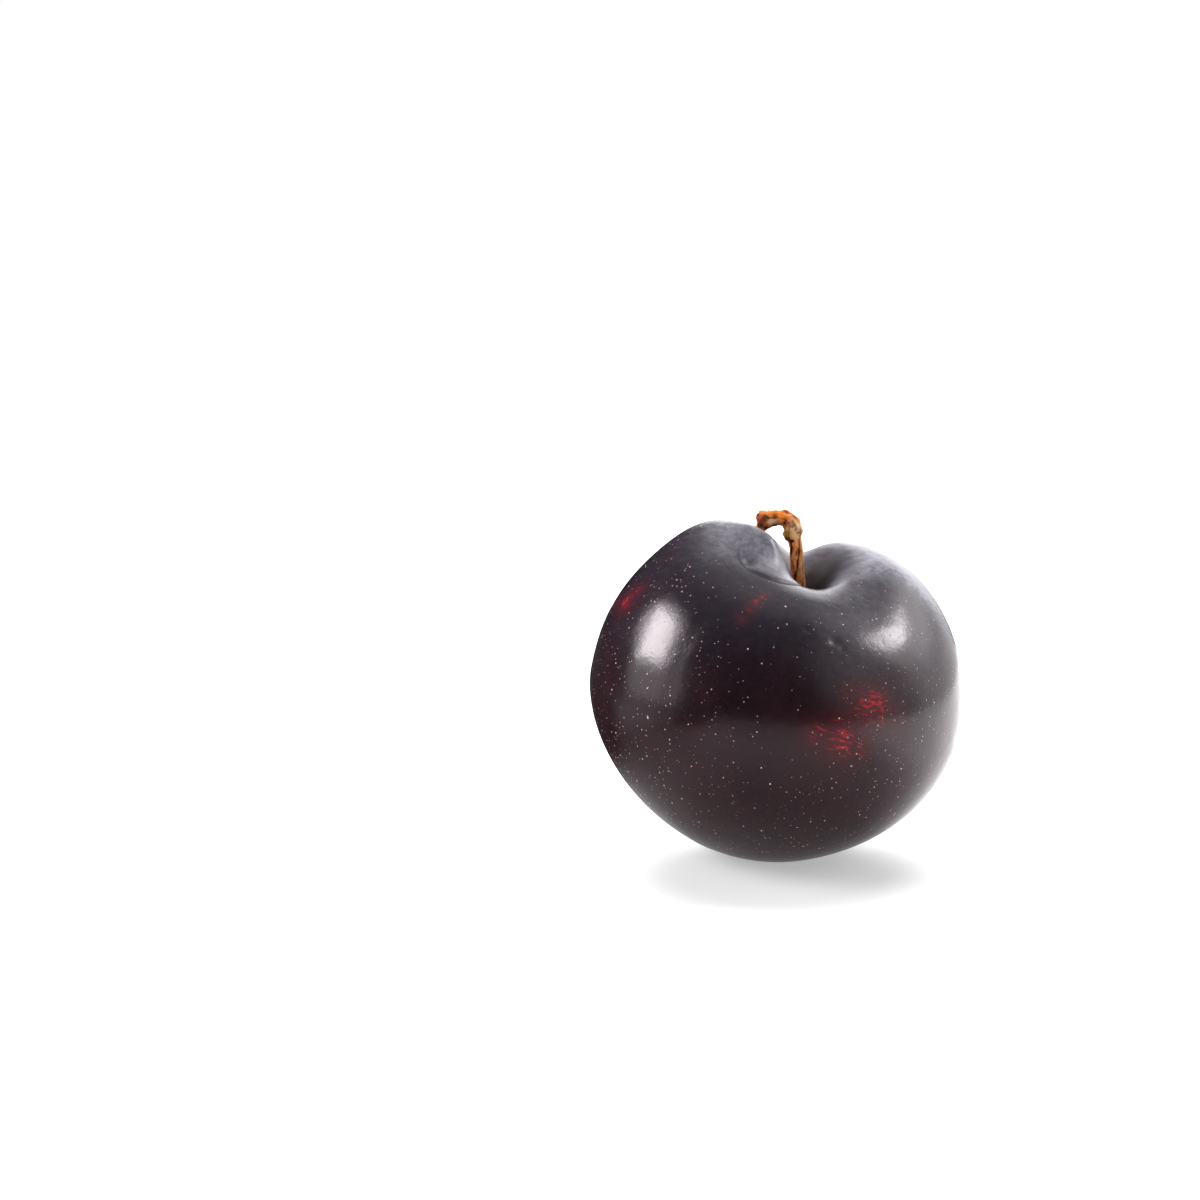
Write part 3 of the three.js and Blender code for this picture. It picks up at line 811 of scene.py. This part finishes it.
def distanceTowards(tree, place, azimuth, elevation=0):
    # the dot product of a place and that direction
    inputs = {0: place, 1: directionTo(azimuth, elevation)}
    return addNode(tree, "ShaderNodeVectorMath", inputs, operation="DOT_PRODUCT").outputs["Value"]


def wedgeLight(tree, place):
    # bright where the distance to one side, over the distance along the wedge, is small
    wedge = floorLook["wedge"]
    reach = distanceTowards(tree, place, wedge["azimuth"])
    side = math2(tree, "ABSOLUTE", distanceTowards(tree, place, wedge["azimuth"] + 90))
    slope = math2(tree, "DIVIDE", side, math2(tree, "MAXIMUM", reach, millimetre))
    return math2(tree, "MULTIPLY", ramp(tree, slope, *wedge["slopes"]), ramp(tree, reach, *wedge["starts"]))


def studioFloor():
    size = floorLook["halfSize"]
    corners = [(-size, -size, 0), (size, -size, 0), (size, size, 0), (-size, size, 0)]
    mesh = bpy.data.meshes.new("floor")
    mesh.from_pydata(corners, [], [(0, 1, 2, 3)])
    floor = bpy.data.objects.new("floor", mesh)
    bpy.context.scene.collection.objects.link(floor)
    material, tree, surface = newMaterial("paleFloor")
    place = addNode(tree, "ShaderNodeTexCoord").outputs["Object"]
    distance = addNode(tree, "ShaderNodeVectorMath", {0: place}, operation="LENGTH").outputs["Value"]
    far = ramp(tree, distance, *floorLook["fades"])
    light = floorLook["inGloss"]
    for azimuth, low, high, start, end, joins in floorLook["bands"]:
        reach = distanceTowards(tree, place, azimuth)
        light = math2(tree, joins, light, ramp(tree, reach, low, high, start, end))
    light = math2(tree, "ADD", light, wedgeLight(tree, place))
    seenByGloss = addNode(tree, "ShaderNodeLightPath").outputs["Is Glossy Ray"]
    change = math2(tree, "SUBTRACT", light, 1.0)
    light = math2(tree, "ADD", math2(tree, "MULTIPLY", change, seenByGloss), 1.0)
    inputs = {0: floorLook["colour"], 3: light}
    pale = addNode(tree, "ShaderNodeVectorMath", inputs, operation="SCALE").outputs[0]
    tree.links.new(mixed(tree, far, pale, (0, 0, 0, 1)), surface.inputs["Base Color"])
    glowNear, glowFar = floorLook["glow"]
    glow = math2(tree, "ADD", math2(tree, "MULTIPLY", far, glowFar - glowNear), glowNear)
    tree.links.new(math2(tree, "MULTIPLY", glow, light), surface.inputs["Emission Strength"])
    surface.inputs["Emission Color"].default_value = (1, 1, 1, 1)
    surface.inputs["Roughness"].default_value = floorLook["roughness"]
    surface.inputs["Specular IOR Level"].default_value = floorLook["specular"]
    mesh.materials.append(material)
    return floor


studio = {
    # azimuth from straight behind towards the right, elevation, distance, width, height, turn, radiance,
    # shape, and what it lights: matt surfaces, or only the gloss
    "softboxes": {
        "leftKey": (-92.5, 32.5, 0.7, 0.25, 0.35, 15, 18, "RECTANGLE", "gloss"),
        "rightKey": (83, 45, 0.7, 0.132, 0.165, -15, 20, "ELLIPSE", "gloss"),
        "backLight": (5, 55, 0.7, 0.8, 0.8, 0, 6.8, "RECTANGLE", "matt"),
    },
    "aim": (0, 0, 0.03),
    # light for the gloss: azimuth, elevation, angle where a patch ends, angle where it is full, radiance
    "patches": [
        (60, 12, 42, 16, 1.85),
        (16, 27, 28, 6, 3.0),
        (15, 70, 30, 6, 0.8),
        (0, 90, 42, 8, 0.2),
        (-91, 35, 23, 4, 11.0),
        (73, 41, 26, 7, 2.6),
        (-101, 9, 27, 0, 3.0),
        (112, 24, 48, 6, 1.2),
    ],
    "ambient": 0.15,  # what the surround gives to matt surfaces, the same from all sides
}


def addSoftbox(name, azimuth, elevation, distance, width, height, turn, radiance, shape, lights):
    light = bpy.data.lights.new(name, "AREA")
    light.shape = shape
    light.size, light.size_y = width, height
    light.energy = radiance * width * height * math.pi
    towards = directionTo(azimuth, elevation)
    softbox = bpy.data.objects.new(name, light)
    softbox.location = Vector(studio["aim"]) + towards * distance
    softbox.rotation_euler = towards.to_track_quat("Z", "Y").to_euler()
    softbox.rotation_euler.rotate_axis("Z", math.radians(turn))
    softbox.visible_camera = False
    softbox.visible_diffuse = lights == "matt"
    softbox.visible_glossy = lights == "gloss"
    bpy.context.scene.collection.objects.link(softbox)


def studioWorld():
    # soft patches for the gloss, a little even light for matt surfaces, and plain white to the camera
    world = bpy.data.worlds.new("studio")
    bpy.context.scene.world = world
    world.use_nodes = True
    tree = world.node_tree
    background = tree.nodes["Background"]
    background.inputs["Color"].default_value = (1, 1, 1, 1)
    direction = addNode(tree, "ShaderNodeTexCoord").outputs["Generated"]
    glow = 0.0
    for azimuth, elevation, edge, core, radiance in studio["patches"]:
        facing = distanceTowards(tree, direction, azimuth, elevation)
        low, high = math.cos(math.radians(edge)), math.cos(math.radians(core))
        glow = math2(tree, "ADD", glow, ramp(tree, facing, low, high, 0.0, radiance))
    rays = addNode(tree, "ShaderNodeLightPath")
    inputs = {"Factor": rays.outputs["Is Diffuse Ray"], "A": glow, "B": studio["ambient"]}
    glow = addNode(tree, "ShaderNodeMix", inputs).outputs["Result"]
    glow = math2(tree, "MAXIMUM", glow, rays.outputs["Is Camera Ray"])
    tree.links.new(glow, background.inputs["Strength"])


floor = studioFloor()
for name, settings in studio["softboxes"].items():
    addSoftbox(name, *settings)
studioWorld()
print("studio done")


cameraSetup = {"place": (-29.9, -330.36, 86.46), "pitch": 82.566, "lens": 60, "sensor": 36, "nearest": 0.01}


def addCamera():
    lens = bpy.data.cameras.new("camera")
    lens.lens = cameraSetup["lens"]
    lens.sensor_width = cameraSetup["sensor"]
    lens.clip_start = cameraSetup["nearest"]
    camera = bpy.data.objects.new("camera", lens)
    camera.location = Vector(cameraSetup["place"]) * millimetre
    camera.rotation_euler = (math.radians(cameraSetup["pitch"]), 0, 0)
    bpy.context.scene.collection.objects.link(camera)
    bpy.context.scene.camera = camera


addCamera()
bpy.context.scene.view_settings.view_transform = "Standard"
bpy.context.view_layer.update()
